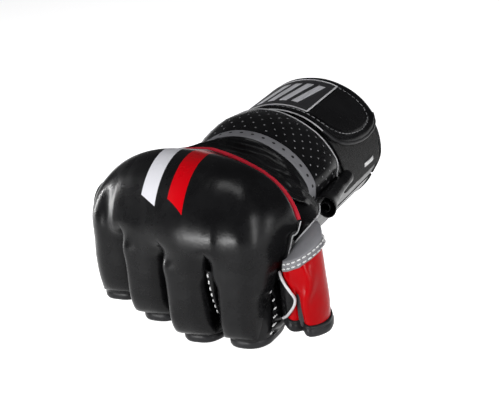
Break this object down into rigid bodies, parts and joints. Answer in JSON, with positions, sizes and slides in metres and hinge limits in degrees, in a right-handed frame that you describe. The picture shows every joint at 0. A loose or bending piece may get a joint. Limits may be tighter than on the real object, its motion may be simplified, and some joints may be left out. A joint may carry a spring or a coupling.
{
  "type": "mma glove",
  "caption": "Open-finger sparring glove for a right hand, closed to a fist: padded back, hinged finger pads, thumb stall and hook-and-loop wrist strap.",
  "frame": {"origin": "centre of the cuff's mouth, on the axis of the wrist bore", "axes": "+Y along the wrist towards the elbow, +X towards the thumb side, +Z towards the back of the hand"},
  "size_m": [0.1218, 0.17, 0.0811],
  "materials": {
    "lining_fabric": "matte",
    "foam": "matte",
    "black_leather": "satin",
    "perforated_black_leather": "satin",
    "binding_tape": "satin",
    "hook_and_loop": "matte",
    "grey_leather": "satin",
    "pale_edging": "satin",
    "label_fabric": "satin",
    "white_tag": "matte",
    "red_piping": "satin",
    "red_leather": "satin"
  },
  "bodies": {
    "cuff": {"cuff_lining": "lining_fabric", "cuff_padding": "foam", "wrist_padding": "foam", "cuff_shell": "black_leather", "wrist_back_panel": "perforated_black_leather", "wrist_palm_panel": "black_leather", "wrist_panel_piping": "pale_edging", "grey_band": "grey_leather", "cuff_end_binding": "binding_tape", "rolled_slit_edge": "black_leather", "loop_field": "hook_and_loop", "strap_base": "black_leather", "blank_tag": "white_tag", "flex_panel": "black_leather"},
    "strap": {"strap_tail": "black_leather", "hook_tape": "hook_and_loop", "label_patch": "label_fabric", "label_border": "pale_edging", "strap_end_tab": "black_leather"},
    "hand": {"hand_lining": "lining_fabric", "palm_panel": "black_leather", "palm_edge_tape": "binding_tape", "back_pad_foam": "foam", "back_pad_cover": "black_leather", "pad_piping": "red_piping", "side_seam": "pale_edging", "thumb_top_panel": "black_leather", "thumb_panel": "grey_leather", "index_knuckle": "black_leather", "middle_knuckle": "black_leather", "ring_knuckle": "black_leather", "little_knuckle": "black_leather"},
    "index": {"index_pad_foam": "foam", "index_pad_cover": "black_leather", "index_sleeve": "black_leather", "index_hem": "binding_tape", "index_side_panel": "black_leather"},
    "middle": {"middle_pad_foam": "foam", "middle_pad_cover": "black_leather", "middle_sleeve": "black_leather", "middle_hem": "binding_tape"},
    "ring": {"ring_pad_foam": "foam", "ring_pad_cover": "black_leather", "ring_sleeve": "black_leather", "ring_hem": "binding_tape"},
    "little": {"little_pad_foam": "foam", "little_pad_cover": "black_leather", "little_sleeve": "black_leather", "little_hem": "binding_tape"},
    "thumb": {"thumb_lining": "lining_fabric", "thumb_sleeve": "red_leather", "thumb_hem": "binding_tape"}
  },
  "joints": [
    {"name": "wrist_bend", "type": "hinge", "parent": "cuff", "child": "hand", "pos_m": [0, -0.1035, 0], "axis": [1, 0, 0], "range_deg": [-20, 25], "deforming": ["flex_panel"]},
    {"name": "index_open", "type": "hinge", "parent": "hand", "child": "index", "pos_m": [0.026, -0.13872, 0.008], "axis": [-1, 0, 0], "range_deg": [0, 70], "deforming": ["index_knuckle"]},
    {"name": "middle_open", "type": "hinge", "parent": "hand", "child": "middle", "pos_m": [0.002, -0.13613, 0.008], "axis": [-1, 0, 0], "range_deg": [0, 70], "deforming": ["middle_knuckle"]},
    {"name": "ring_open", "type": "hinge", "parent": "hand", "child": "ring", "pos_m": [-0.022, -0.12954, 0.008], "axis": [-1, 0, 0], "range_deg": [0, 70], "deforming": ["ring_knuckle"]},
    {"name": "little_open", "type": "hinge", "parent": "hand", "child": "little", "pos_m": [-0.046, -0.12791, 0.008], "axis": [-1, 0, 0], "range_deg": [0, 70], "deforming": ["little_knuckle"]},
    {"name": "thumb_swing", "type": "hinge", "parent": "hand", "child": "thumb", "pos_m": [0.04, -0.147, 0.001], "axis": [0, -1, 0], "range_deg": [0, 35], "deforming": ["thumb_panel"]},
    {"name": "strap_peel", "type": "hinge", "parent": "cuff", "child": "strap", "pos_m": [-0.03661, -0.0285, 0.00256], "axis": [0, -1, 0], "range_deg": [0, 95]}
  ]
}
